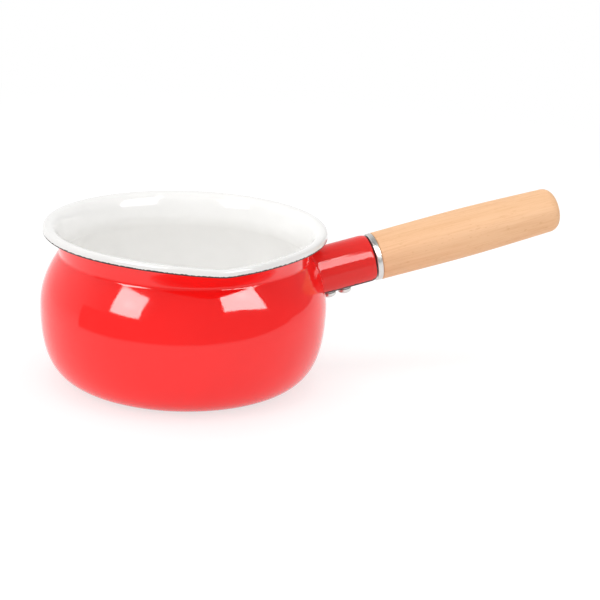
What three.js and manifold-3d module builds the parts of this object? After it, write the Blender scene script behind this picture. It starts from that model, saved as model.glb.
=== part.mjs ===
import * as THREE from 'three';
import { mergeVertices, toCreasedNormals } from 'three/addons/utils/BufferGeometryUtils.js';
import Module from 'manifold-3d';

// An enamelled steel milk pan with a pouring lip and a turned wooden handle.
// Millimetres, +Z up. The origin is the middle of the flat base, on the plane that
// the pan stands on. The handle points along +X, the pouring lip along -Y.

const { degToRad, smoothstep } = THREE.MathUtils;

// Space left between pieces that touch or fit into each other
const CLEARANCE = 0.3;

// Shell: steel sheet with its enamel
const SHELL_WALL = 1.2;
const BASE_RADIUS = 51; // flat part of the base
const BELLY_RADIUS = 80;
const BELLY_HEIGHT = 43.7;
const BOWL_FULLNESS = 0.71; // 0 turns from base to belly on a straight line, 1 on a sharp corner
const NECK_RADIUS = 69.6; // at the crease between shoulder and neck
const NECK_HEIGHT = 72.6;
const SHOULDER_LEAD = 14; // how long the shoulder keeps close to the belly's radius
const SHOULDER_LEAN = degToRad(34); // how far it leans in where it meets the neck
const SHOULDER_TUCK = 5; // how long it keeps that lean

// Neck that flares to the turned-down lip, and the pouring lip pulled out of it
const NECK_LEAN = degToRad(10); // how far the neck leans out above the crease
const NECK_LEAD = 13.5; // how long it keeps that lean
const CREST_RADIUS = 77;
const CREST_HEIGHT = 88.7;
const CREST_TURN = 4; // how far inside the crest the flare levels out
const LIP_REACH = 0.5; // how far the sheet turns out past the crest, over its underside
const LIP_DROP = 2.4; // how far it turns down there
const LIP_SWEEP = degToRad(95); // how far it turns
const SPOUT_PULL = 10.8;
const SPOUT_DIP = 0.8;
const SPOUT_SPREAD = degToRad(23); // half width of the pull, seen from the pan's axis
const SPOUT_POINT = 1.3; // 1 draws the pouring lip to a sharp point, 2 rounds it
const SPOUT_ROOT = 17; // how far below the crest the pull begins
const SPOUT_RISE = 14; // the height over which it reaches its full size

// Handle axis
const HANDLE_HEIGHT = 57.6; // where the axis meets the shell
const HANDLE_TILT = degToRad(12.7);

// Socket: a sleeve with a slot along its underside, welded to the shell
const SOCKET_LENGTH = 32.5;
const SOCKET_RADIUS = 14; // outside
const SOCKET_WALL = 1.2;
const SOCKET_FLARE = 0.6; // added to the radius where its side meets the shell
const SOCKET_FLARE_LENGTH = 6;
const SOCKET_DRAW = 0.8; // taken off the radius at the open end
const SOCKET_DRAW_LENGTH = 4;
const SLOT_WIDTH = 16.5;
const SLOT_CORNER = 3;

// Screws that hold the bracket in the socket, and their split washers
const SCREW_RADIUS = 2;
const SCREW_HEAD_RADIUS = 4;
const SCREW_HEAD_HEIGHT = 3.1;
const SCREW_HEAD_RIM = 1; // straight part of the head below its crown
const SCREW_TIP = 0.6;
const SCREW_SETBACK = 5.7; // front screw, from the belly's widest line
const SCREW_SPACING = 9.5;
const WASHER_RADIUS = 3.7;
const WASHER_THICKNESS = 0.9;
const WASHER_SLIT = 0.8;

// Bracket: a strap bent up behind the ferrule cap, and the tapped bar above its leg
const BRACKET_THICKNESS = 2;
const BRACKET_WIDTH = 10;
const BRACKET_BEND = 2; // inside of the bend
const BRACKET_INSET = 1.8; // from the socket's lowest line up to the underside of the leg
const BRACKET_TOP = 8; // height of the upright end above the handle's axis
const END_MARGIN = 4; // metal beyond the middle of a screw, at the ends of the leg and the bar
const BAR_THICKNESS = 2.4;

// Ferrule cap and grip
const FERRULE_STEP = 0.2; // how much smaller than the socket it is, in radius
const FERRULE_WALL = 0.7;
const FERRULE_DEPTH = 3.2;
const FERRULE_EDGE = 0.7; // rounding of its front edge
const GRIP_LENGTH = 113.3; // from the ferrule cap to the end
const GRIP_SWELL_RADIUS = 14.2; // halfway along
const GRIP_END_RADIUS = 12.9;
const GRIP_END_ROUND = 6;
const GRIP_SCREW_RADIUS = 2.5;
const GRIP_SCREW_HEAD_RADIUS = 4.6;
const GRIP_SCREW_HEAD_HEIGHT = 3.2;
const GRIP_SCREW_LENGTH = 40;
const GRIP_SCREW_POINT = 6;

// Facets round the pan, round the handle and round small pieces
const PAN_FACETS = 64;
const HANDLE_FACETS = 40;
const SMALL_FACETS = 20;

const wasm = await Module();
wasm.setup();

// A closed geometry as a solid, without the collapsed triangles of a turned form's poles
function toSolid(geometry) {
  const bare = geometry.clone();
  bare.deleteAttribute('normal');
  bare.deleteAttribute('uv');
  const merged = mergeVertices(bare);
  const corners = merged.index.array;
  const triangles = [];
  for (let i = 0; i < corners.length; i += 3) {
    const [a, b, c] = [corners[i], corners[i + 1], corners[i + 2]];
    if (a !== b && b !== c && c !== a) triangles.push(a, b, c);
  }
  const vertProperties = Float32Array.from(merged.attributes.position.array);
  const triVerts = Uint32Array.from(triangles);
  return new wasm.Manifold(new wasm.Mesh({ numProp: 3, vertProperties, triVerts }));
}

function toGeometry(solid) {
  const { vertProperties, triVerts } = solid.getMesh();
  const geometry = new THREE.BufferGeometry();
  geometry.setAttribute('position', new THREE.BufferAttribute(vertProperties, 3));
  geometry.setIndex(new THREE.BufferAttribute(triVerts, 1));
  return toCreasedNormals(geometry, degToRad(30));
}

function cut(geometry, ...cutters) {
  const remainder = cutters.reduce((solid, cutter) => solid.subtract(toSolid(cutter)), toSolid(geometry));
  return toGeometry(remainder);
}

const at = (x, y) => new THREE.Vector2(x, y);

// A step up a wall that leans out by an angle
const leaning = (angle, length) => at(length * Math.sin(angle), length * Math.cos(angle));

// Points of a profile moved to the left of its direction
function offsetProfile(points, distance) {
  return points.map((point, i) => {
    const before = points[Math.max(i - 1, 0)];
    const after = points[Math.min(i + 1, points.length - 1)];
    const along = after.clone().sub(before).normalize();
    return at(point.x - along.y * distance, point.y + along.x * distance);
  });
}

// Turned forms from points of (radius, distance along the axis)
const turnedUpright = (points, facets) => new THREE.LatheGeometry(points, facets).rotateX(Math.PI / 2);
const turnedAlong = (points, facets) => new THREE.LatheGeometry(points, facets).rotateZ(-Math.PI / 2);

// Outside of the shell, from the middle of the base to the edge of the lip
const crestUnderside = CREST_HEIGHT - SHELL_WALL;
const neck = at(NECK_RADIUS, NECK_HEIGHT);
const bowl = new THREE.CubicBezierCurve(
  at(BASE_RADIUS, 0),
  at(BASE_RADIUS + (BELLY_RADIUS - BASE_RADIUS) * BOWL_FULLNESS, 0),
  at(BELLY_RADIUS, BELLY_HEIGHT * (1 - BOWL_FULLNESS)),
  at(BELLY_RADIUS, BELLY_HEIGHT)
);
const shoulder = new THREE.CubicBezierCurve(
  at(BELLY_RADIUS, BELLY_HEIGHT),
  at(BELLY_RADIUS, BELLY_HEIGHT + SHOULDER_LEAD),
  neck.clone().sub(leaning(-SHOULDER_LEAN, SHOULDER_TUCK)),
  neck
);
const flare = new THREE.CubicBezierCurve(
  neck,
  neck.clone().add(leaning(NECK_LEAN, NECK_LEAD)),
  at(CREST_RADIUS - CREST_TURN, crestUnderside),
  at(CREST_RADIUS, crestUnderside)
);
const lip = new THREE.EllipseCurve(
  CREST_RADIUS,
  crestUnderside - LIP_DROP,
  LIP_REACH,
  LIP_DROP,
  Math.PI / 2,
  Math.PI / 2 - LIP_SWEEP,
  true
);
const outside = [
  at(0, 0),
  ...bowl.getPoints(9),
  ...shoulder.getPoints(8).slice(1),
  ...flare.getPoints(5).slice(1),
  ...lip.getPoints(6).slice(1)
];
const inside = offsetProfile(outside, SHELL_WALL);

// Pulls the rim out and down at the pouring lip
function pullSpout(geometry) {
  const position = geometry.attributes.position;
  const root = CREST_HEIGHT - SPOUT_ROOT;
  for (let i = 0; i < position.count; i++) {
    const [x, y, z] = [position.getX(i), position.getY(i), position.getZ(i)];
    const radius = Math.hypot(x, y);
    const rise = smoothstep(z, root, root + SPOUT_RISE);
    if (rise === 0) continue;
    const fromSpout = Math.acos(-y / radius);
    const share = rise * Math.exp(-((fromSpout / SPOUT_SPREAD) ** SPOUT_POINT));
    const stretch = 1 + (SPOUT_PULL * share) / radius;
    position.setXYZ(i, x * stretch, y * stretch, z - SPOUT_DIP * share);
  }
  return geometry;
}

const panGeometry = pullSpout(turnedUpright([...outside, ...inside.reverse()], PAN_FACETS));
panGeometry.computeVertexNormals();

// Red enamel on the outside of the sheet, white on the inside
const redCoat = new THREE.Color('#d0161b');
const whiteCoat = new THREE.Color('#f4f2ee');
const profileCount = outside.length + inside.length;
const enamel = [];
for (let i = 0; i < panGeometry.attributes.position.count; i++) {
  const coat = i % profileCount < outside.length ? redCoat : whiteCoat;
  enamel.push(coat.r, coat.g, coat.b);
}
panGeometry.setAttribute('color', new THREE.Float32BufferAttribute(enamel, 3));

// The handle's frame starts where its axis meets the shell, with X along the axis
const wallRadius = (() => {
  const next = outside.findIndex((point) => point.y > HANDLE_HEIGHT);
  const [low, high] = [outside[next - 1], outside[next]];
  return low.x + ((high.x - low.x) * (HANDLE_HEIGHT - low.y)) / (high.y - low.y);
})();
const handle = new THREE.Group();
handle.position.set(wallRadius, 0, HANDLE_HEIGHT);
handle.rotation.y = -HANDLE_TILT;
handle.updateMatrix();
const toHandle = handle.matrix.clone().invert();

// What the shell takes up in that frame, for pieces that are trimmed to it
const shellRoom = turnedUpright(
  [...offsetProfile(outside, -CLEARANCE), at(0, CREST_HEIGHT)],
  PAN_FACETS
).applyMatrix4(toHandle);

// Socket: a sleeve that flares to the shell and is drawn in at its open end, slotted underneath
const socketBore = SOCKET_RADIUS - SOCKET_WALL;
const socketRoot = -SOCKET_RADIUS;
const flareSlope = (2 * SOCKET_FLARE) / SOCKET_FLARE_LENGTH;
const flareToShell = new THREE.QuadraticBezierCurve(
  at(SOCKET_RADIUS + SOCKET_FLARE, 0),
  at(SOCKET_RADIUS, SOCKET_FLARE_LENGTH / 2),
  at(SOCKET_RADIUS, SOCKET_FLARE_LENGTH)
);
const drawnIn = new THREE.QuadraticBezierCurve(
  at(SOCKET_RADIUS, SOCKET_LENGTH - SOCKET_DRAW_LENGTH),
  at(SOCKET_RADIUS, SOCKET_LENGTH - SOCKET_DRAW_LENGTH / 2),
  at(SOCKET_RADIUS - SOCKET_DRAW, SOCKET_LENGTH)
);
const socketOutside = [
  at(SOCKET_RADIUS + SOCKET_FLARE - flareSlope * socketRoot, socketRoot),
  ...flareToShell.getPoints(4),
  ...drawnIn.getPoints(4)
];
const socketInside = offsetProfile(socketOutside, SOCKET_WALL);
const sleeve = turnedAlong(
  [...socketOutside, ...socketInside.reverse(), socketOutside[0].clone()],
  HANDLE_FACETS
);

// The slot seen from below: parallel edges, rounded off outwards at the open end
const slotEdge = SLOT_WIDTH / 2;
const slotMouth = slotEdge + SLOT_CORNER;
const cornerX = SOCKET_LENGTH - SLOT_CORNER;
const slot = new THREE.Shape();
slot.moveTo(2 * socketRoot, -slotEdge);
slot.lineTo(cornerX, -slotEdge);
slot.absarc(cornerX, -slotMouth, SLOT_CORNER, Math.PI / 2, 0, true);
slot.lineTo(SOCKET_LENGTH + CLEARANCE, -slotMouth);
slot.lineTo(SOCKET_LENGTH + CLEARANCE, slotMouth);
slot.lineTo(SOCKET_LENGTH, slotMouth);
slot.absarc(cornerX, slotMouth, SLOT_CORNER, 0, -Math.PI / 2, true);
slot.lineTo(2 * socketRoot, slotEdge);
const slotRoom = new THREE.ExtrudeGeometry(slot, {
  depth: 2 * SOCKET_RADIUS,
  curveSegments: 6,
  bevelEnabled: false
});
slotRoom.translate(0, 0, -2 * SOCKET_RADIUS);
const socketGeometry = cut(sleeve, shellRoom, slotRoom);

// Levels under the handle's axis, from the bar down to the seat of the screw heads
const legUnderside = -(SOCKET_RADIUS - BRACKET_INSET);
const legTop = legUnderside + BRACKET_THICKNESS;
const barUnderside = legTop + CLEARANCE;
const barTop = barUnderside + BAR_THICKNESS;
const washerUnderside = legUnderside - CLEARANCE - WASHER_THICKNESS;
const headSeat = washerUnderside - CLEARANCE;
const belly = new THREE.Vector3(BELLY_RADIUS, 0, BELLY_HEIGHT).applyMatrix4(toHandle);
const frontStation = belly.x + SCREW_SETBACK;
const screwStations = [frontStation, frontStation + SCREW_SPACING];
const legFront = screwStations[0] - END_MARGIN;
const barEnd = screwStations[1] + END_MARGIN;

const holesForScrews = screwStations.map((station) => {
  const hole = new THREE.CylinderGeometry(
    SCREW_RADIUS + CLEARANCE,
    SCREW_RADIUS + CLEARANCE,
    SOCKET_RADIUS,
    SMALL_FACETS
  );
  return hole.rotateX(Math.PI / 2).translate(station, 0, (legUnderside + barTop) / 2);
});

// Nut bar: its sides follow the inside of the socket
const barFit = socketBore - CLEARANCE;
const barLow = Math.asin(barUnderside / barFit);
const barHigh = Math.asin(barTop / barFit);
const barSection = new THREE.Shape();
barSection.absarc(0, 0, barFit, barLow, barHigh, false);
barSection.absarc(0, 0, barFit, Math.PI - barHigh, Math.PI - barLow, false);
const bar = new THREE.ExtrudeGeometry(barSection, {
  depth: barEnd - legFront,
  curveSegments: 4,
  bevelEnabled: false
});
bar.rotateX(Math.PI / 2).rotateZ(Math.PI / 2).translate(legFront, 0, 0);
const barGeometry = cut(bar, shellRoom, ...holesForScrews);

// Bracket: its bent profile, drawn across the handle
const bendOutside = BRACKET_BEND + BRACKET_THICKNESS;
const bendX = SOCKET_LENGTH - bendOutside;
const bendZ = legUnderside + bendOutside;
const strap = new THREE.Shape();
strap.moveTo(legFront, legUnderside);
strap.lineTo(bendX, legUnderside);
strap.absarc(bendX, bendZ, bendOutside, -Math.PI / 2, 0, false);
strap.lineTo(SOCKET_LENGTH, BRACKET_TOP);
strap.lineTo(SOCKET_LENGTH - BRACKET_THICKNESS, BRACKET_TOP);
strap.lineTo(SOCKET_LENGTH - BRACKET_THICKNESS, bendZ);
strap.absarc(bendX, bendZ, BRACKET_BEND, 0, -Math.PI / 2, true);
strap.lineTo(legFront, legTop);
const bent = new THREE.ExtrudeGeometry(strap, {
  depth: BRACKET_WIDTH,
  curveSegments: 6,
  bevelEnabled: false
});
bent.rotateX(Math.PI / 2).translate(0, BRACKET_WIDTH / 2, 0);
const gripScrewBore = GRIP_SCREW_RADIUS + CLEARANCE;
const holeForGripScrew = new THREE.CylinderGeometry(
  gripScrewBore,
  gripScrewBore,
  4 * BRACKET_THICKNESS,
  SMALL_FACETS
);
holeForGripScrew.rotateZ(Math.PI / 2).translate(SOCKET_LENGTH, 0, 0);
const bracketGeometry = cut(bent, shellRoom, holeForGripScrew, ...holesForScrews);

// Screw: domed head downwards, shank up through washer, leg and bar
const screwLength = barTop - headSeat + SCREW_RADIUS / 2;
const crown = new THREE.EllipseCurve(
  0,
  -SCREW_HEAD_RIM,
  SCREW_HEAD_RADIUS,
  SCREW_HEAD_HEIGHT - SCREW_HEAD_RIM,
  -Math.PI / 2,
  0
);
const screwProfile = [
  ...crown.getPoints(6),
  at(SCREW_HEAD_RADIUS, 0),
  at(SCREW_RADIUS, 0),
  at(SCREW_RADIUS, screwLength - SCREW_TIP),
  at(SCREW_RADIUS - SCREW_TIP, screwLength),
  at(0, screwLength)
];
screwProfile[0].x = 0;

// Washer: a flat ring with a slit
const slit = Math.asin(WASHER_SLIT / 2 / WASHER_RADIUS);
const ring = new THREE.Shape();
ring.absarc(0, 0, WASHER_RADIUS, slit, 2 * Math.PI - slit, false);
ring.absarc(0, 0, SCREW_RADIUS + CLEARANCE, 2 * Math.PI - slit, slit, true);

// Ferrule cap: a shallow cup with a hole in its floor for the grip's screw
const ferruleRadius = SOCKET_RADIUS - FERRULE_STEP;
const ferruleBore = ferruleRadius - FERRULE_WALL;
const ferruleFront = SOCKET_LENGTH + CLEARANCE;
const ferruleBack = ferruleFront + FERRULE_DEPTH;
const ferruleFloor = ferruleFront + FERRULE_WALL;
const frontEdge = new THREE.EllipseCurve(
  ferruleRadius - FERRULE_EDGE,
  ferruleFront + FERRULE_EDGE,
  FERRULE_EDGE,
  FERRULE_EDGE,
  -Math.PI / 2,
  0
);
const ferruleProfile = [
  at(gripScrewBore, ferruleFront),
  ...frontEdge.getPoints(4),
  at(ferruleRadius, ferruleBack),
  at(ferruleBore, ferruleBack),
  at(ferruleBore, ferruleFloor),
  at(gripScrewBore, ferruleFloor),
  at(gripScrewBore, ferruleFront)
];

// Grip: a spigot in the ferrule cap, a slow swell, a rounded end, and a bore for its screw
const gripScrewSeat = SOCKET_LENGTH - BRACKET_THICKNESS - CLEARANCE;
const spigotFront = ferruleFloor + CLEARANCE;
const spigotRadius = ferruleBore - CLEARANCE;
const gripFront = ferruleBack + CLEARANCE;
const gripEnd = gripFront + GRIP_LENGTH;
const boreEnd = gripScrewSeat + GRIP_SCREW_LENGTH + CLEARANCE;
const swell = new THREE.SplineCurve([
  at(ferruleRadius, gripFront),
  at(GRIP_SWELL_RADIUS, gripFront + GRIP_LENGTH / 2),
  at(GRIP_END_RADIUS, gripEnd - GRIP_END_ROUND)
]);
const endRound = new THREE.EllipseCurve(
  GRIP_END_RADIUS - GRIP_END_ROUND,
  gripEnd - GRIP_END_ROUND,
  GRIP_END_ROUND,
  GRIP_END_ROUND,
  0,
  Math.PI / 2
);
const gripProfile = [
  at(0, boreEnd),
  at(gripScrewBore, boreEnd),
  at(gripScrewBore, spigotFront),
  at(spigotRadius, spigotFront),
  at(spigotRadius, gripFront),
  ...swell.getPoints(12),
  ...endRound.getPoints(6).slice(1),
  at(0, gripEnd)
];

// Grip screw: round head in front of the bracket's upright end, pointed shank in the grip
const gripScrewCrown = new THREE.EllipseCurve(
  0,
  gripScrewSeat,
  GRIP_SCREW_HEAD_RADIUS,
  GRIP_SCREW_HEAD_HEIGHT,
  -Math.PI / 2,
  0
);
const gripScrewProfile = [
  ...gripScrewCrown.getPoints(6),
  at(GRIP_SCREW_RADIUS, gripScrewSeat),
  at(GRIP_SCREW_RADIUS, gripScrewSeat + GRIP_SCREW_LENGTH - GRIP_SCREW_POINT),
  at(0, gripScrewSeat + GRIP_SCREW_LENGTH)
];
gripScrewProfile[0].x = 0;

const enamelCoat = { vertexColors: true, roughness: 0.12, metalness: 0 };
const redEnamel = { color: redCoat, roughness: 0.12, metalness: 0 };
const polishedSteel = { color: '#c9cbcc', roughness: 0.18, metalness: 1 };
const plainSteel = { color: '#a9abac', roughness: 0.38, metalness: 1 };
const paleWood = { color: '#dfae7c', roughness: 0.5, metalness: 0 };

function piece(name, geometry, finish) {
  const mesh = new THREE.Mesh(geometry, new THREE.MeshStandardMaterial(finish));
  mesh.name = name;
  return mesh;
}

handle.add(
  piece('handle_socket', socketGeometry, redEnamel),
  piece('nut_bar', barGeometry, plainSteel),
  piece('handle_bracket', bracketGeometry, plainSteel),
  piece('ferrule_cap', turnedAlong(ferruleProfile, HANDLE_FACETS), polishedSteel),
  piece('wooden_grip', turnedAlong(gripProfile, HANDLE_FACETS), paleWood),
  piece('grip_screw', turnedAlong(gripScrewProfile, SMALL_FACETS), plainSteel)
);

['front', 'rear'].forEach((place, i) => {
  const screw = piece(`${place}_screw`, turnedUpright(screwProfile, SMALL_FACETS), polishedSteel);
  screw.position.set(screwStations[i], 0, headSeat);
  const washerForm = new THREE.ExtrudeGeometry(ring, {
    depth: WASHER_THICKNESS,
    curveSegments: SMALL_FACETS,
    bevelEnabled: false
  });
  const washer = piece(`${place}_lock_washer`, washerForm, plainSteel);
  washer.position.set(screwStations[i], 0, washerUnderside);
  handle.add(screw, washer);
});

const saucepan = new THREE.Group();
saucepan.add(piece('pan_body', panGeometry, enamelCoat), handle);

export default saucepan;
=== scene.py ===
"""Looks of an enamelled milk pan with a pouring lip and a turned wooden handle.

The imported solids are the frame. The pan, its socket, the two screws, the ferrule cap and
the grip are modelled again with finer surfaces, at the same places and sizes. The steel
pieces inside the socket keep their solids and get a material.

Shapes are given in millimetres and become metres when a mesh is made.
"""

import functools
import math

import bmesh
import bpy
from mathutils import Matrix, Vector
from mathutils.geometry import interpolate_bezier


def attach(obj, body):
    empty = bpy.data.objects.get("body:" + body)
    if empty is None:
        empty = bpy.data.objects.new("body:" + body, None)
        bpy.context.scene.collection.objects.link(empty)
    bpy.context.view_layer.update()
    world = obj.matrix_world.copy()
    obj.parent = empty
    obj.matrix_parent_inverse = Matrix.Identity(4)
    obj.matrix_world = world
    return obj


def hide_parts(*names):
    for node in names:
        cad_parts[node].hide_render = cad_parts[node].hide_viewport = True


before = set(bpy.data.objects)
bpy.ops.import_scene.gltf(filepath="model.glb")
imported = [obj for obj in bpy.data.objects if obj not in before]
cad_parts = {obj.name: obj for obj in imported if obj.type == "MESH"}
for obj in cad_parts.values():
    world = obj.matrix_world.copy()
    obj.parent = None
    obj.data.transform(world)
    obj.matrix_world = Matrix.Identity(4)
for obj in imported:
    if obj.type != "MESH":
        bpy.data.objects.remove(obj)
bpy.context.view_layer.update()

MM = 0.001

# Shell: steel sheet with its enamel
SHELL_WALL = 1.2
BASE_RADIUS = 51
BELLY_RADIUS = 80
BELLY_HEIGHT = 43.7
BOWL_FULLNESS = 0.71
NECK_RADIUS = 69.6
NECK_HEIGHT = 72.6
SHOULDER_LEAD = 14
SHOULDER_LEAN = math.radians(34)
SHOULDER_TUCK = 5
CREASE_ROUND = 1.1
RIDGE_ROUND = 3.5  # the crease seen from inside the pan
BASE_RINGS = (0, 0.3, 0.6, 0.8, 0.92)  # rings of points on the flat base, as shares of its radius

# Neck that flares to the turned-down lip, and the pouring lip pulled out of it
NECK_LEAN = math.radians(10)
NECK_LEAD = 13.5
CREST_RADIUS = 77
CREST_HEIGHT = 88.7
CREST_TURN = 4
LIP_REACH = 0.5
LIP_DROP = 2.4
LIP_SWEEP = 95
SPOUT_PULL = 10.8
SPOUT_DIP = 0.8
SPOUT_SPREAD = math.radians(23)
SPOUT_POINT = 1.3
SPOUT_ROOT = 17
SPOUT_RISE = 14

# Handle frame: it starts where the handle's axis meets the shell, with X along the axis
HANDLE_ROOT = Vector((77.5385, 0, 57.6))
HANDLE_TILT = math.radians(12.7)
HANDLE = Matrix.Translation(HANDLE_ROOT) @ Matrix.Rotation(-HANDLE_TILT, 4, "Y")

# Socket: a sleeve with a slot along its underside
SOCKET_LENGTH = 32.5
SOCKET_RADIUS = 14
SOCKET_WALL = 1.2
SOCKET_DRAW = 0.8
SOCKET_DRAW_LENGTH = 4
SLOT_WIDTH = 16.5
SLOT_CORNER = 3
FOOT_REACH = 0.9  # how far the weld's fillet spreads over the shell
FOOT_LENGTH = 1.6  # how far it runs up the sleeve
FOOT_SINK = 0.15  # how deep the sleeve's foot is set into the shell
MEET_REACH = (-30, 20)  # how far along the handle the sleeve can meet the shell
MEET_HALVINGS = 28
SLOT_ROUNDS = 3  # rounds that settle a point's angle and its place along the slot
BARE_END = 0.5  # width of the bare edge at the open end
BARE_SLOT = 2.5  # width of the bare edge along the slot
EVEN_SHARE = 0.8  # share of the sleeve with evenly spaced rows, before they crowd towards the end

# Screws under the socket
SCREW_RADIUS = 2
SCREW_HEAD_RADIUS = 4
SCREW_HEAD_HEIGHT = 3.1
SCREW_HEAD_RIM = 1
SCREW_LENGTH = 7.2
SCREW_TIP = 0.6
SCREW_SEAT = -13.7
SCREW_STATIONS = {"front_screw": 5.045, "rear_screw": 14.545}
RECESS_LENGTH = 4.6
RECESS_WIDTH = 1
RECESS_DEPTH = 1.7
RECESS_TAPER = 0.6  # size of its bottom, as a share of its mouth
RECESS_START = -1  # where its cutter begins, outside the head

# Ferrule cap and grip
FERRULE_RADIUS = 13.8
FERRULE_WALL = 0.7
FERRULE_FRONT = 32.8
FERRULE_BACK = 36
FERRULE_EDGE = 0.7
FERRULE_LIP = 0.25
GRIP_FRONT = 36.3
GRIP_END = 149.6
GRIP_SWELL_RADIUS = 14.2
GRIP_END_RADIUS = 12.9
GRIP_END_ROUND = 6
GRIP_EDGE = 0.5
SPIGOT_FRONT = 33.8
SPIGOT_RADIUS = 12.8
BORE_RADIUS = 2.8
BORE_END = 70.5

# Points round the pan, round the handle and round a screw
PAN_STEPS = 192
HANDLE_STEPS = 96
SCREW_STEPS = 48

# Points along the curves of the shell, the screw heads, the ferrule cap and the grip
BOWL_STEPS = 40
SHOULDER_STEPS = 36
FLARE_STEPS = 24
LIP_STEPS = 16
EDGE_STEPS = 10
EASE_STEPS = 9
GRIP_STEPS = 24
DOME_STEPS = 14
FRONT_STEPS = 8
RIM_STEPS = 5

# Points across the sleeve's section and round its slot's edges, and rows along it
ACROSS_STEPS = 80
TIP_STEPS = 6
FOOT_ROWS = 10
EVEN_ROWS = 12
END_ROWS = 16

MERGE = 0.001 * MM  # points nearer than this are one
SMOOTH_ANGLE = 40
SCREW_SMOOTH_ANGLE = 30


# Curves and meshes


def bezier(start, start_handle, end_handle, end, count):
    """Points of a cubic curve, both ends included."""
    return interpolate_bezier(Vector(start), Vector(start_handle), Vector(end_handle), Vector(end), count)


def arc(centre, radii, start, end, count):
    """Points of an elliptical arc between two angles in degrees, both ends included."""
    angles = [math.radians(start + (end - start) * i / (count - 1)) for i in range(count)]
    (x, y), (wide, high) = centre, radii
    return [Vector((x + wide * math.cos(a), y + high * math.sin(a))) for a in angles]


def smoothstep(value, low, high):
    share = min(max((value - low) / (high - low), 0), 1)
    return share * share * (3 - 2 * share)


def tangents(points):
    """Directions along a profile."""
    ahead = points[1:] + points[-1:]
    behind = points[:1] + points[:-1]
    return [(a - b).normalized() for a, b in zip(ahead, behind)]


def left_of(direction):
    return Vector((-direction.y, direction.x))


def leaning(angle, length):
    """A step up a wall that leans out by an angle."""
    return Vector((length * math.sin(angle), length * math.cos(angle)))


def eased(first, second, size):
    """Two curves that meet in a corner, with the corner rounded."""
    corner = first[-1]
    before = [point for point in first if (point - corner).length > size]
    after = [point for point in second if (point - corner).length > size]
    start = corner + (before[-1] - corner).normalized() * size
    end = corner + (after[0] - corner).normalized() * size
    curve = bezier(start, start.lerp(corner, 2 / 3), end.lerp(corner, 2 / 3), end, EASE_STEPS)
    return before + curve + after


def skin(name, rings, edge=None):
    """A mesh through closed rings of points. edge says how far each point is from a bare edge."""
    count = len(rings[0])
    faces = []
    for low in range(0, (len(rings) - 1) * count, count):
        for i in range(count):
            j = (i + 1) % count
            faces.append((low + i, low + j, low + count + j, low + count + i))
    mesh = bpy.data.meshes.new(name)
    mesh.from_pydata([point * MM for ring in rings for point in ring], [], faces)
    if edge:
        attribute = mesh.attributes.new("edge", "FLOAT", "POINT")
        attribute.data.foreach_set("value", [value for ring in edge for value in ring])
    tidy(mesh)
    piece = bpy.data.objects.new(name, mesh)
    bpy.context.scene.collection.objects.link(piece)
    return piece


def tidy(mesh, crease=SMOOTH_ANGLE):
    """Joins points that fall together, turns the faces outwards and smooths all but sharp edges."""
    work = bmesh.new()
    work.from_mesh(mesh)
    bmesh.ops.remove_doubles(work, verts=work.verts, dist=MERGE)
    bmesh.ops.dissolve_degenerate(work, edges=work.edges, dist=MERGE)
    bmesh.ops.recalc_face_normals(work, faces=work.faces)
    work.to_mesh(mesh)
    work.free()
    mesh.shade_smooth()
    mesh.set_sharp_from_angle(angle=math.radians(crease))


def turned(name, profile, steps, place):
    """A form turned about the X axis of a place, from points of (distance along the axis, radius)."""
    rings = []
    for along, radius in profile:
        angles = [2 * math.pi * i / steps for i in range(steps)]
        rings.append([place @ Vector((along, radius * math.cos(a), radius * math.sin(a))) for a in angles])
    return skin(name, rings)


# Pan


def shell_outside():
    """Outside of the shell as (radius, height), from the rim of the flat base to the edge of the lip."""
    underside = CREST_HEIGHT - SHELL_WALL
    neck = Vector((NECK_RADIUS, NECK_HEIGHT))
    edge_round = math.degrees(SHELL_WALL / 2 / (LIP_DROP + SHELL_WALL / 2))
    bowl = bezier(
        (BASE_RADIUS, 0),
        (BASE_RADIUS + (BELLY_RADIUS - BASE_RADIUS) * BOWL_FULLNESS, 0),
        (BELLY_RADIUS, BELLY_HEIGHT * (1 - BOWL_FULLNESS)),
        (BELLY_RADIUS, BELLY_HEIGHT),
        BOWL_STEPS,
    )
    shoulder = bezier(
        (BELLY_RADIUS, BELLY_HEIGHT),
        (BELLY_RADIUS, BELLY_HEIGHT + SHOULDER_LEAD),
        neck - leaning(-SHOULDER_LEAN, SHOULDER_TUCK),
        neck,
        SHOULDER_STEPS,
    )
    flare = bezier(
        neck,
        neck + leaning(NECK_LEAN, NECK_LEAD),
        (CREST_RADIUS - CREST_TURN, underside),
        (CREST_RADIUS, underside),
        FLARE_STEPS,
    )
    lip_end = 90 - LIP_SWEEP + edge_round
    lip = arc((CREST_RADIUS, underside - LIP_DROP), (LIP_REACH, LIP_DROP), 90, lip_end, LIP_STEPS)
    return bowl + eased(shoulder[1:], flare, CREASE_ROUND) + lip[1:]


OUTSIDE = shell_outside()


def shell_radius(height):
    """Outside radius of the shell at a height below the crest."""
    for low, high in zip(OUTSIDE, OUTSIDE[1:]):
        if low.y <= height <= high.y:
            return low.x + (high.x - low.x) * (height - low.y) / max(high.y - low.y, 1e-9)
    return NECK_RADIUS


def pulled(radius, height, angle):
    """A point of the pan, moved out and down near the pouring lip."""
    root = CREST_HEIGHT - SPOUT_ROOT
    from_spout = math.acos(min(max(-math.sin(angle), -1), 1))
    share = smoothstep(height, root, root + SPOUT_RISE)
    share *= math.exp(-((from_spout / SPOUT_SPREAD) ** SPOUT_POINT))
    reach = radius + SPOUT_PULL * share
    return Vector((reach * math.cos(angle), reach * math.sin(angle), height - SPOUT_DIP * share))


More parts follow.
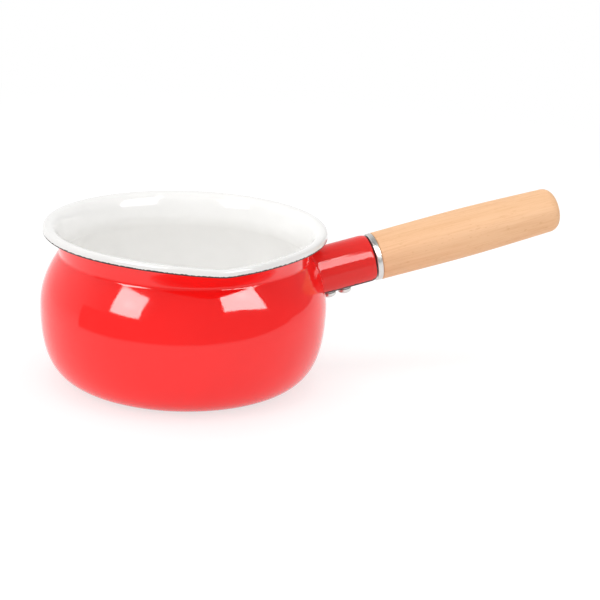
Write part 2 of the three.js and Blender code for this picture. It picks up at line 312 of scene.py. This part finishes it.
def make_pan():
    """The shell as one skin: up the outside, round the lip's edge and down the inside."""
    along = tangents(OUTSIDE)
    inside = [point + left_of(way) * SHELL_WALL for point, way in zip(OUTSIDE, along)]
    upper = [i for i, point in enumerate(OUTSIDE) if point.y > BELLY_HEIGHT]
    ridge = min(upper, key=lambda i: inside[i].x)
    inside = eased(inside[:ridge + 1], inside[ridge:], RIDGE_ROUND)
    half = SHELL_WALL / 2
    middle = (OUTSIDE[-1] + inside[-1]) / 2
    ahead, across = along[-1], left_of(along[-1])
    turn = [math.pi * i / EDGE_STEPS for i in range(1, EDGE_STEPS)]
    edge = [middle + (ahead * math.sin(a) - across * math.cos(a)) * half for a in turn]
    floor = [BASE_RADIUS * share for share in BASE_RINGS]
    profile = [Vector((radius, 0)) for radius in floor] + OUTSIDE + edge
    profile += inside[::-1] + [Vector((radius, SHELL_WALL)) for radius in floor[::-1]]

    lengths = [0]
    for before, after in zip(profile, profile[1:]):
        lengths.append(lengths[-1] + (after - before).length)
    edge_at = lengths[len(floor) + len(OUTSIDE) + len(edge) // 2]
    angles = [2 * math.pi * i / PAN_STEPS for i in range(PAN_STEPS)]
    rings = [[pulled(point.x, point.y, a) for a in angles] for point in profile]
    from_edge = [[length - edge_at] * PAN_STEPS for length in lengths]
    return skin("enamelled_pan", rings, from_edge)


# Socket


@functools.cache
def meets(angle, radius):
    """Where a line along the sleeve, at an angle and a radius, comes to the outside of the shell."""
    low, high = MEET_REACH
    for _ in range(MEET_HALVINGS):
        middle = (low + high) / 2
        point = HANDLE @ sleeve_point(angle, radius, middle)
        if math.hypot(point.x, point.y) < shell_radius(point.z):
            low = middle
        else:
            high = middle
    return high


def slot_reach(along):
    """Angle from the sleeve's top line to the edge of its slot, which opens round a corner at the end."""
    edge = SLOT_WIDTH / 2
    beyond = along - (SOCKET_LENGTH - SLOT_CORNER)
    if beyond > 0:
        edge += SLOT_CORNER - math.sqrt(max(SLOT_CORNER ** 2 - beyond ** 2, 0))
    return math.pi - math.asin(edge / SOCKET_RADIUS)


def drawn(along):
    """How much the sleeve is drawn in near its open end."""
    share = max(along - SOCKET_LENGTH + SOCKET_DRAW_LENGTH, 0) / SOCKET_DRAW_LENGTH
    return SOCKET_DRAW * share ** 2


def sleeve_point(angle, radius, along):
    return Vector((along, radius * math.sin(angle), radius * math.cos(angle)))


def sleeve_wall(angle, foot_share, share):
    """Outer and inner point of the sleeve: foot_share runs through the fillet, share on to the end."""
    bore = SOCKET_RADIUS - SOCKET_WALL
    corner = meets(angle, SOCKET_RADIUS)
    if share == 0:
        spread = SOCKET_RADIUS + FOOT_REACH
        fillet = [(meets(angle, spread), spread), (corner, SOCKET_RADIUS)]
        fillet.append((corner + FOOT_LENGTH, SOCKET_RADIUS))
        weights = ((1 - foot_share) ** 2, 2 * foot_share * (1 - foot_share), foot_share ** 2)
        along = sum(w * x for w, (x, _) in zip(weights, fillet)) - FOOT_SINK * (1 - foot_share)
        radius = sum(w * r for w, (_, r) in zip(weights, fillet))
    else:
        along = corner + FOOT_LENGTH + (SOCKET_LENGTH - corner - FOOT_LENGTH) * share
        radius = SOCKET_RADIUS - drawn(along)
    inner_foot = meets(angle, bore) - FOOT_SINK
    inner_along = inner_foot + (along - inner_foot) * foot_share if share == 0 else along
    return sleeve_point(angle, radius, along), sleeve_point(angle, bore - drawn(along), inner_along)


def make_socket():
    """The sleeve as closed C-shaped sections, from its foot on the shell to its rounded open end."""
    half = SOCKET_WALL / 2
    tip = half / (SOCKET_RADIUS * slot_reach(0))
    across = [-1 + tip + (2 - 2 * tip) * i / ACROSS_STEPS for i in range(ACROSS_STEPS + 1)]
    turn = [math.pi * i / TIP_STEPS for i in range(1, TIP_STEPS)]
    section = [(u, 0) for u in across]
    section += [(1 - tip + tip * math.sin(a), (1 - math.cos(a)) / 2) for a in turn]
    section += [(u, 1) for u in reversed(across)]
    section += [(-1 + tip - tip * math.sin(a), (1 + math.cos(a)) / 2) for a in turn]

    rows = [(i / FOOT_ROWS, 0) for i in range(FOOT_ROWS + 1)]
    rows += [(1, i / EVEN_ROWS * EVEN_SHARE) for i in range(1, EVEN_ROWS + 1)]
    crowding = [math.sin(math.pi / 2 * i / END_ROWS) for i in range(1, END_ROWS + 1)]
    rows += [(1, EVEN_SHARE + (1 - EVEN_SHARE) * share) for share in crowding]

    rings, marks = [], []
    for index, (foot_share, share) in enumerate([rows[0], *rows]):
        ring, mark = [], []
        for u, depth in section:
            along = 0
            for _ in range(SLOT_ROUNDS):
                angle = u * slot_reach(along)
                outer, inner = sleeve_wall(angle, foot_share, share)
                along = min(outer.x, SOCKET_LENGTH)
            to_end = SOCKET_LENGTH - along
            thick = math.sqrt(max(1 - (1 - min(to_end / half, 1)) ** 2, 0))
            if index == 0:
                thick = 0
            point = outer.lerp(inner, 0.5 + (depth - 0.5) * thick)
            to_slot = (1 - abs(u)) * slot_reach(along) * SOCKET_RADIUS
            ring.append(HANDLE @ point)
            mark.append(min(to_end / BARE_END, to_slot / BARE_SLOT) if depth < 0.5 else -1)
        rings.append(ring)
        marks.append(mark)
    return skin("enamelled_socket", rings, marks)


# Screws, ferrule cap and grip


def make_screw(name, station):
    """A round-headed screw, head down, with a cross recess."""
    seat = Matrix.Translation((station, 0, SCREW_SEAT))
    place = HANDLE @ seat @ Matrix.Rotation(-math.pi / 2, 4, "Y")
    crown_height = SCREW_HEAD_HEIGHT - SCREW_HEAD_RIM
    crown = arc((-SCREW_HEAD_RIM, 0), (crown_height, SCREW_HEAD_RADIUS), 180, 90, DOME_STEPS)
    profile = [*crown, (0, SCREW_HEAD_RADIUS), (0, SCREW_RADIUS)]
    profile += [(SCREW_LENGTH - SCREW_TIP, SCREW_RADIUS), (SCREW_LENGTH, SCREW_RADIUS - SCREW_TIP)]
    profile.append((SCREW_LENGTH, 0))
    screw = turned(name, profile, SCREW_STEPS, place)
    for turn in (0, math.pi / 2):
        cut_recess(screw, place @ Matrix.Rotation(turn, 4, "X"))
    tidy(screw.data, SCREW_SMOOTH_ANGLE)
    return screw


def cut_recess(screw, place):
    """Cuts one arm of the cross recess, narrower at its bottom."""
    mesh = bpy.data.meshes.new("recess")
    work = bmesh.new()
    bmesh.ops.create_cube(work, size=1)
    for corner in work.verts:
        deep = corner.co.x > 0
        taper = RECESS_TAPER if deep else 1
        along = -SCREW_HEAD_HEIGHT + (RECESS_DEPTH if deep else RECESS_START)
        length, width = RECESS_LENGTH * taper, RECESS_WIDTH * taper
        corner.co = place @ Vector((along, corner.co.y * length, corner.co.z * width)) * MM
    bmesh.ops.recalc_face_normals(work, faces=work.faces)
    work.to_mesh(mesh)
    work.free()
    cutter = bpy.data.objects.new("recess", mesh)
    bpy.context.scene.collection.objects.link(cutter)
    boolean = screw.modifiers.new("recess", "BOOLEAN")
    boolean.object = cutter
    boolean.operation = "DIFFERENCE"
    boolean.solver = "EXACT"
    bpy.context.view_layer.update()
    view = bpy.context.evaluated_depsgraph_get()
    shape = bpy.data.meshes.new_from_object(screw.evaluated_get(view))
    screw.modifiers.clear()
    screw.data = shape
    bpy.data.objects.remove(cutter)


def make_ferrule():
    """A shallow cup of polished steel, open towards the grip, with rounded edges."""
    bore = FERRULE_RADIUS - FERRULE_WALL
    floor = FERRULE_FRONT + FERRULE_WALL
    edge, lip = FERRULE_EDGE, FERRULE_LIP
    front = arc((FERRULE_FRONT + edge, FERRULE_RADIUS - edge), (edge, edge), 180, 90, FRONT_STEPS)
    back = arc((FERRULE_BACK - lip, FERRULE_RADIUS - lip), (lip, lip), 90, 0, RIM_STEPS)
    profile = [(FERRULE_FRONT, BORE_RADIUS), *front, *back, (FERRULE_BACK, bore), (floor, bore)]
    profile += [(floor, BORE_RADIUS), (FERRULE_FRONT, BORE_RADIUS)]
    return turned("polished_ferrule", profile, HANDLE_STEPS, HANDLE)


def make_grip():
    """The turned grip: bore and spigot at the front, a slow swell and a rounded end."""
    middle = (GRIP_FRONT + GRIP_END) / 2
    shoulder = GRIP_END - GRIP_END_ROUND
    knots = [Vector((GRIP_FRONT, FERRULE_RADIUS)), Vector((middle, GRIP_SWELL_RADIUS))]
    knots.append(Vector((shoulder, GRIP_END_RADIUS)))
    through = (knots[2] - knots[0]) / 6
    lead_in, lead_out = (knots[1] - knots[0]) / 6, (knots[2] - knots[1]) / 6
    first = bezier(knots[0], knots[0] + lead_in, knots[1] - through, knots[1], GRIP_STEPS)
    second = bezier(knots[1], knots[1] + through, knots[2] - lead_out, knots[2], GRIP_STEPS)
    edge_middle = (GRIP_FRONT + GRIP_EDGE, FERRULE_RADIUS - GRIP_EDGE)
    edge = arc(edge_middle, (GRIP_EDGE, GRIP_EDGE), 180, 90, RIM_STEPS)
    end_middle = (shoulder, GRIP_END_RADIUS - GRIP_END_ROUND)
    rounded = arc(end_middle, (GRIP_END_ROUND, GRIP_END_ROUND), 90, 0, DOME_STEPS)
    profile = [(BORE_END, 0), (BORE_END, BORE_RADIUS), (SPIGOT_FRONT, BORE_RADIUS)]
    profile += [(SPIGOT_FRONT, SPIGOT_RADIUS), (GRIP_FRONT, SPIGOT_RADIUS), *edge, *first[1:]]
    profile += [*second[1:], *rounded[1:], (GRIP_END, 0)]
    return turned("turned_grip", profile, HANDLE_STEPS, HANDLE)


# Materials


def new_material(name):
    """A material with nothing but a Principled shader, and that shader."""
    material = bpy.data.materials.new(name)
    material.use_nodes = True
    tree = material.node_tree
    return material, tree, tree.nodes["Principled BSDF"]


def add(tree, kind, sockets=None, **settings):
    """A node of a kind, with its settings, and with a value or a link on each named socket."""
    node = tree.nodes.new("ShaderNode" + kind)
    for name, value in settings.items():
        setattr(node, name, value)
    for name, value in (sockets or {}).items():
        plug(tree, node, name, value)
    return node


def plug(tree, node, socket, value):
    if isinstance(value, bpy.types.NodeSocket):
        tree.links.new(value, node.inputs[socket])
    else:
        node.inputs[socket].default_value = value


def ramp(tree, factor, stops):
    """A colour ramp through (position, colour) stops."""
    node = add(tree, "ValToRGB", {"Fac": factor})
    elements = node.color_ramp.elements
    while len(elements) < len(stops):
        elements.new(1)
    for element, (position, colour) in zip(elements, stops):
        element.position = position
        element.color = (*colour, 1)
    return node.outputs["Color"]


def noise(tree, vector, scale=1, detail=2, roughness=0.5):
    sockets = {"Vector": vector, "Scale": scale, "Detail": detail, "Roughness": roughness}
    return add(tree, "TexNoise", sockets).outputs["Fac"]


def fit(tree, value, low, high, to_low, to_high, smooth=False):
    """A value taken from one range to another."""
    sockets = {"Value": value, "From Min": low, "From Max": high, "To Min": to_low, "To Max": to_high}
    kind = "SMOOTHSTEP" if smooth else "LINEAR"
    return add(tree, "MapRange", sockets, interpolation_type=kind).outputs["Result"]


def math_node(tree, operation, first, second):
    return add(tree, "Math", {0: first, 1: second}, operation=operation).outputs["Value"]


def tinted(tree, colour, shade):
    """A colour multiplied by another."""
    node = add(tree, "Mix", data_type="RGBA", blend_type="MULTIPLY")
    node.inputs["Factor"].default_value = 1
    tree.links.new(colour, node.inputs[6])
    tree.links.new(shade, node.inputs[7])
    return node.outputs[2]


def bump(tree, height, distance, normal=None):
    sockets = {"Height": height, "Distance": distance, "Strength": 1}
    if normal:
        sockets["Normal"] = normal
    return add(tree, "Bump", sockets).outputs["Normal"]


RED = (0.98, 0.012, 0.011)
# The socket's red is the pan's red enamel made darker, as painted shade, with its green and blue raised as
# a painted reflection.
SHADED_SOCKET_RED = (0.77, 0.03, 0.026)
# One white enamel in two tones: the inside's white is whiter than enamel is, as painted light in the pan,
# and the lip's white is darker, as painted shade on the lip.
LIT_INSIDE_WHITE = (0.975, 0.968, 0.953)
SHADED_LIP_WHITE = (0.81, 0.8, 0.785)
GROUND_COAT = (0.022, 0.012, 0.01)
SOCKET_EDGE = (0.065, 0.008, 0.007)
BARE_COATS = (GROUND_COAT, SOCKET_EDGE)
COAT_SPAN = 12  # how far on either side of a bare edge the coats change
EDGE_RAGGED = 0.35  # how far a coat's border wanders
ENAMEL_IOR = 1.52
ENAMEL_ROUGHNESS = 0.05
BARE_ROUGHNESS = 0.5
ENAMEL_SHEEN = (0.01, 0.05)  # roughness that varies over it
ENAMEL_CLOUDS = 0.03  # how much darker its darkest clouds are
ENAMEL_WAVES = 0.00022
ENAMEL_PEEL = 0.000004
PAN_GLOSS = 0.5
SOCKET_GLOSS = 0.27

# Noise: where most of its values lie, and how many of its grains go into a metre
NOISE_RANGE = (0.3, 0.7)
BORDER_RANGE = (0.25, 0.75)
BORDER_GRAINS = 650
CLOUD_GRAINS = 55
SHEEN_GRAINS = 140
WAVE_GRAINS = 42
PEEL_GRAINS = 420
SMEAR_GRAINS = 180
STAIN_GRAINS = 220
CRYSTAL_GRAINS = 700

# Coats by distance from a bare edge: in millimetres on the pan, in widths of the bare edge on the socket
# The lip's darker white is painted shade and the inside's brighter white is painted light; the dark ground
# coat at the edge is real.
PAN_COATS = [(-0.9, RED), (-0.7, GROUND_COAT), (1.15, GROUND_COAT), (1.3, SHADED_LIP_WHITE)]
PAN_COATS += [(5.5, SHADED_LIP_WHITE), (11.5, LIT_INSIDE_WHITE)]
# The socket's red in these coats is the darker copy of the pan's red, painted shade.
SOCKET_COATS = [(1, SOCKET_EDGE), (1.2, SHADED_SOCKET_RED)]

# Beech: sizes of its bands, fibres and flecks along and across the grip, and colours that go with them
BAND_SIZE = (0.16, 0.007, 0.011)
FIBRE_SIZE = (0.03, 0.0007, 0.0007)
FLECK_SIZE = (0.0035, 0.0004, 0.0009)
BAND_TONES = [(0.3, (0.79, 0.46, 0.255)), (0.5, (0.84, 0.515, 0.295)), (0.7, (0.81, 0.48, 0.265))]
FIBRE_TONES = [(0.3, (0.94, 0.90, 0.86)), (0.55, (1, 1, 1))]
FLECK_TONES = [(0.66, (1, 1, 1)), (0.74, (0.91, 0.85, 0.79))]
FIBRE_DEPTH = 0.00003
LACQUER_GLOSS = 0.2
LACQUER_ROUGHNESS = (0.62, 0.5)

# Steel: tones of its smears and stains, size and depth of the turned lines, depth of the stains, roughness
POLISH_TONES = [(0.3, (0.64, 0.63, 0.61)), (0.7, (0.74, 0.73, 0.71))]
ZINC_TONES = [(0.3, (0.50, 0.50, 0.50)), (0.7, (0.66, 0.67, 0.68))]
LINE_SIZE = (0.0005, 0.006, 0.006)
LINE_DEPTH = 0.0000002
STAIN_DEPTH = 0.00001
POLISH_ROUGHNESS = (0.27, 0.33)
ZINC_ROUGHNESS = (0.3, 0.46)


def enamel(name, coats, gloss):
    """Vitreous enamel. coats gives its colours by distance from a bare edge."""
    material, tree, shader = new_material(name)
    spot = add(tree, "TexCoord").outputs["Object"]
    edge = add(tree, "Attribute", attribute_name="edge").outputs["Fac"]
    border = noise(tree, spot, BORDER_GRAINS, detail=4, roughness=0.65)
    ragged = fit(tree, border, *BORDER_RANGE, -EDGE_RAGGED, EDGE_RAGGED)
    place = fit(tree, math_node(tree, "ADD", edge, ragged), -COAT_SPAN, COAT_SPAN, 0, 1)
    stops = [((far + COAT_SPAN) / (2 * COAT_SPAN), colour) for far, colour in coats]
    cloud = fit(tree, noise(tree, spot, CLOUD_GRAINS, detail=3), *NOISE_RANGE, 1 - ENAMEL_CLOUDS, 1)
    tint = add(tree, "CombineColor", {"Red": cloud, "Green": cloud, "Blue": cloud}).outputs["Color"]
    shader.inputs["IOR"].default_value = ENAMEL_IOR
    shader.inputs["Specular IOR Level"].default_value = gloss
    plug(tree, shader, "Base Color", tinted(tree, ramp(tree, place, stops), tint))

    rough = [BARE_ROUGHNESS if colour in BARE_COATS else ENAMEL_ROUGHNESS for _, colour in stops]
    coat = ramp(tree, place, [(position, (value,) * 3) for (position, _), value in zip(stops, rough)])
    sheen = fit(tree, noise(tree, spot, SHEEN_GRAINS, detail=3), *NOISE_RANGE, *ENAMEL_SHEEN)
    plug(tree, shader, "Roughness", math_node(tree, "ADD", coat, sheen))
    waves = bump(tree, noise(tree, spot, WAVE_GRAINS, detail=1), ENAMEL_WAVES)
    peel = bump(tree, noise(tree, spot, PEEL_GRAINS), ENAMEL_PEEL, waves)
    plug(tree, shader, "Normal", peel)
    return material


def handle_space(tree, scale):
    """Places in the handle's frame, each axis divided by a length in metres."""
    return add(
        tree,
        "Mapping",
        {
            "Vector": add(tree, "TexCoord").outputs["Object"],
            "Location": HANDLE_ROOT * MM,
            "Rotation": (0, -HANDLE_TILT, 0),
            "Scale": scale,
        },
        vector_type="TEXTURE",
    ).outputs["Vector"]


def beech(name):
    """Pale turned beech: slow growth bands, fine fibre and short dark ray flecks, satin lacquer."""
    material, tree, shader = new_material(name)
    bands = noise(tree, handle_space(tree, BAND_SIZE))
    fibre = noise(tree, handle_space(tree, FIBRE_SIZE), detail=3, roughness=0.6)
    flecks = noise(tree, handle_space(tree, FLECK_SIZE), detail=1)
    wood = tinted(tree, ramp(tree, bands, BAND_TONES), ramp(tree, fibre, FIBRE_TONES))
    plug(tree, shader, "Base Color", tinted(tree, wood, ramp(tree, flecks, FLECK_TONES)))
    shader.inputs["Specular IOR Level"].default_value = LACQUER_GLOSS
    plug(tree, shader, "Roughness", fit(tree, fibre, *NOISE_RANGE, *LACQUER_ROUGHNESS))
    plug(tree, shader, "Normal", bump(tree, fibre, FIBRE_DEPTH))
    return material


def polished_steel(name):
    """Stainless steel polished on the wheel: fine turned lines and faint smears."""
    material, tree, shader = new_material(name)
    lines = noise(tree, handle_space(tree, LINE_SIZE))
    smears = noise(tree, add(tree, "TexCoord").outputs["Object"], SMEAR_GRAINS, detail=3)
    shader.inputs["Metallic"].default_value = 1
    plug(tree, shader, "Base Color", ramp(tree, smears, POLISH_TONES))
    plug(tree, shader, "Roughness", fit(tree, smears, *NOISE_RANGE, *POLISH_ROUGHNESS))
    plug(tree, shader, "Normal", bump(tree, lines, LINE_DEPTH))
    return material


def plain_steel(name):
    """Zinc plated steel: a dull crystalline bloom."""
    material, tree, shader = new_material(name)
    spot = add(tree, "TexCoord").outputs["Object"]
    bloom = add(tree, "TexVoronoi", {"Vector": spot, "Scale": CRYSTAL_GRAINS}).outputs["Color"]
    crystals = add(tree, "RGBToBW", {"Color": bloom}).outputs["Val"]
    stain = noise(tree, spot, STAIN_GRAINS, detail=4)
    shader.inputs["Metallic"].default_value = 1
    plug(tree, shader, "Base Color", ramp(tree, stain, ZINC_TONES))
    plug(tree, shader, "Roughness", fit(tree, crystals, 0, 1, *ZINC_ROUGHNESS))
    plug(tree, shader, "Normal", bump(tree, stain, STAIN_DEPTH))
    return material


# The part

pieces = [
    (make_pan(), "pan_body", "enamel", enamel("pan_enamel", PAN_COATS, PAN_GLOSS)),
    (make_socket(), "handle_socket", "enamel", enamel("socket_enamel", SOCKET_COATS, SOCKET_GLOSS)),
    (make_ferrule(), "ferrule_cap", "polished_steel", polished_steel("ferrule_steel")),
    (make_grip(), "wooden_grip", "pale_wood", beech("beech")),
]
screw_steel = polished_steel("screw_steel")
for node, station in SCREW_STATIONS.items():
    pieces.append((make_screw("cross_" + node, station), node, "polished_steel", screw_steel))
for piece, node, slot, material in pieces:
    piece.data.materials.clear()
    piece.data.materials.append(material)
    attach(piece, "root")
    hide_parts(node)

zinc = plain_steel("zinc_steel")
for node in ("nut_bar", "handle_bracket", "front_lock_washer", "rear_lock_washer", "grip_screw"):
    for material_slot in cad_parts[node].material_slots:
        material_slot.link = "OBJECT"
        material_slot.material = zinc


# Stage: floor, what the enamel mirrors of the studio, lamps, a pale tent, camera

TENT_LEFT = 1.02
TENT_RIGHT = 0.7
ROOM_FRONT = 0.35
ROOM_BACK = 0.95
ROOM_BACKDROP = (-0.42, 0.91, 0)  # towards the pale side of the room
ROOM_SPREAD = 0.9
FLOOR_RADIUS = 12
FLOOR_SIDES = 96
FLOOR_DROP = 0.0002
FLOOR_PALENESS = 0.93
FLOOR_LIFT = 0.7
FLOOR_SHARE = 0.35  # how much of the seen floor takes the shadow
FLOOR_NEAR = 0.3  # to here it keeps the shadow
FLOOR_FAR = 0.9  # from here it is plain white
CARD_HEIGHT = 0.1
CARD_FADE = 0.014
CARD_PATH = [(-0.26, 0), (-0.219, -0.079), (-0.145, -0.168), (-0.049, -0.229)]
CARD_PATH += [(0.121, -0.258), (0.6, -0.3), (1.6, -0.36)]
LIT_POINT = (-0.01, -0.066, 0.066)
SOFT_BOX_GLOW = 12.5
SOFT_BOX_HEART = 15
SOFT_BOX_FADE = 0.25
# place, target, width and height
SOFT_BOXES = {
    "left_soft_box": ((-1.59, -0.833, 1.06), LIT_POINT, 0.87, 0.9),
    "right_soft_box": ((0.2426, -0.3044, 0.3325), (0.1975, -0.0585, 0.3325), 0.285, 0.245),
    "socket_strip": ((0.1202, -0.3268, 0.57), (0.0751, -0.0809, 0.57), 0.036, 0.23),
}
LAMP_SIZE = 1
# place and power
LAMPS = {
    "left_lamp": ((-1.59, -0.833, 1.06), 4.5),
    "right_lamp": ((1.14, -1.28, 1.2), 1.5),
    "top_lamp": ((0, 0, 1.8), 7.8),
}
CAMERA_PLACE = (-0.21062, -0.86999, 0.32883)
CAMERA_YAW = 0.31021
CAMERA_PITCH = 0.30503
CAMERA_ROLL = 0.04555
CAMERA_LENS = 100
CAMERA_SENSOR = 36


def stage_object(name, work, material):
    mesh = bpy.data.meshes.new(name)
    work.to_mesh(mesh)
    work.free()
    mesh.materials.append(material)
    item = bpy.data.objects.new(name, mesh)
    bpy.context.scene.collection.objects.link(item)
    return item


def only_mirrored(item):
    """Leaves a thing to reflections alone: it gives no light and throws no shadow."""
    item.visible_camera = False
    item.visible_diffuse = False
    item.visible_shadow = False


def facing(place, target):
    """A place from which -Z points at a target."""
    way = Vector(target) - Vector(place)
    return Matrix.Translation(place) @ way.to_track_quat("-Z", "Y").to_matrix().to_4x4()


def seen_ray(tree):
    """1 on what the camera sees, directly, mirrored or through glass, and 0 where light is gathered."""
    path = add(tree, "LightPath").outputs
    mirrored = math_node(tree, "MAXIMUM", path["Is Glossy Ray"], path["Is Transmission Ray"])
    return math_node(tree, "MAXIMUM", path["Is Camera Ray"], mirrored)


def surface(tree, shader):
    tree.links.new(shader, tree.nodes["Material Output"].inputs["Surface"])


def bare_material(name):
    material, tree, shader = new_material(name)
    tree.nodes.remove(shader)
    return material, tree


def floor_material():
    """Pale floor. What is seen of it lifts to white, and keeps a faint shadow near the object."""
    material, tree = bare_material("pale_floor")
    spot = add(tree, "NewGeometry").outputs["Position"]
    distance = add(tree, "VectorMath", {0: spot}, operation="LENGTH").outputs["Value"]
    away = fit(tree, distance, FLOOR_NEAR, FLOOR_FAR, 0, 1, smooth=True)
    ground = add(tree, "BsdfDiffuse", {"Color": (*[FLOOR_PALENESS] * 3, 1)}).outputs["BSDF"]
    shaded = add(tree, "BsdfDiffuse", {"Color": (*[FLOOR_SHARE] * 3, 1)}).outputs["BSDF"]
    lift = add(tree, "Emission", {"Strength": FLOOR_LIFT}).outputs["Emission"]
    white = add(tree, "Emission", {"Strength": 1}).outputs["Emission"]
    near = add(tree, "AddShader", {0: shaded, 1: lift}).outputs["Shader"]
    shown = add(tree, "MixShader", {0: away, 1: near, 2: white}).outputs["Shader"]
    surface(tree, add(tree, "MixShader", {0: seen_ray(tree), 1: ground, 2: shown}).outputs["Shader"])
    return material


def card_material():
    """As bright as the floor at its foot, as dim as the room above."""
    material, tree = bare_material("reflected_room")
    spot = add(tree, "NewGeometry").outputs["Position"]
    height = add(tree, "SeparateXYZ", {"Vector": spot}).outputs["Z"]
    strength = fit(tree, height, 0, CARD_FADE, 1, ROOM_FRONT, smooth=True)
    surface(tree, add(tree, "Emission", {"Strength": strength}).outputs["Emission"])
    return material


def soft_box_material():
    """White cloth, brightest in the middle."""
    material, tree = bare_material("soft_box_cloth")
    spot = add(tree, "TexCoord").outputs["Object"]
    distance = add(tree, "VectorMath", {0: spot}, operation="LENGTH").outputs["Value"]
    strength = fit(tree, distance, 0, SOFT_BOX_FADE, SOFT_BOX_HEART, SOFT_BOX_GLOW, smooth=True)
    surface(tree, add(tree, "Emission", {"Strength": strength}).outputs["Emission"])
    return material


disc = bmesh.new()
bmesh.ops.create_circle(disc, cap_ends=True, segments=FLOOR_SIDES, radius=FLOOR_RADIUS)
floor = stage_object("floor", disc, floor_material())
floor.location.z = -FLOOR_DROP

fence = bmesh.new()
feet = [fence.verts.new((x, y, 0)) for x, y in CARD_PATH]
tops = [fence.verts.new((x, y, CARD_HEIGHT)) for x, y in CARD_PATH]
for i in range(len(CARD_PATH) - 1):
    fence.faces.new((feet[i], feet[i + 1], tops[i + 1], tops[i]))
only_mirrored(stage_object("room_card", fence, card_material()))

cloth = soft_box_material()
for name, (place, target, width, height) in SOFT_BOXES.items():
    sheet = bmesh.new()
    bmesh.ops.create_grid(sheet, size=0.5)
    box = stage_object(name, sheet, cloth)
    box.matrix_world = facing(place, target) @ Matrix.Diagonal((width, height, 1, 1))
    only_mirrored(box)

for name, (place, power) in LAMPS.items():
    light = bpy.data.lights.new(name, "AREA")
    light.shape = "SQUARE"
    light.size = LAMP_SIZE
    light.energy = power
    lamp = bpy.data.objects.new(name, light)
    lamp.matrix_world = facing(place, LIT_POINT)
    lamp.visible_camera = False
    lamp.visible_glossy = False
    bpy.context.scene.collection.objects.link(lamp)

world = bpy.data.worlds.new("pale_tent")
world.use_nodes = True
sky = world.node_tree
way = add(sky, "TexCoord").outputs["Generated"]
behind = add(sky, "VectorMath", {0: way, 1: ROOM_BACKDROP}, operation="DOT_PRODUCT").outputs["Value"]
room = fit(sky, behind, 0, ROOM_SPREAD, ROOM_FRONT, ROOM_BACK, smooth=True)
leftward = add(sky, "SeparateXYZ", {"Vector": way}).outputs["X"]
tent = fit(sky, leftward, -1, 1, TENT_LEFT, TENT_RIGHT)
strength = fit(sky, seen_ray(sky), 0, 1, tent, room)
plug(sky, sky.nodes["Background"], "Color", (1, 1, 1, 1))
plug(sky, sky.nodes["Background"], "Strength", strength)
bpy.context.scene.world = world

forward = Vector((
    math.sin(CAMERA_YAW) * math.cos(CAMERA_PITCH),
    math.cos(CAMERA_YAW) * math.cos(CAMERA_PITCH),
    -math.sin(CAMERA_PITCH),
))
level = Vector((math.cos(CAMERA_YAW), -math.sin(CAMERA_YAW), 0))
upward = level.cross(forward)
right = level * math.cos(CAMERA_ROLL) + upward * math.sin(CAMERA_ROLL)
up = upward * math.cos(CAMERA_ROLL) - level * math.sin(CAMERA_ROLL)
lens = bpy.data.cameras.new("camera")
lens.lens = CAMERA_LENS
lens.sensor_width = CAMERA_SENSOR
camera = bpy.data.objects.new("camera", lens)
turn = Matrix((right, up, -forward)).transposed().to_4x4()
camera.matrix_world = Matrix.Translation(CAMERA_PLACE) @ turn
bpy.context.scene.collection.objects.link(camera)
bpy.context.scene.camera = camera

bpy.context.scene.view_settings.view_transform = "Standard"
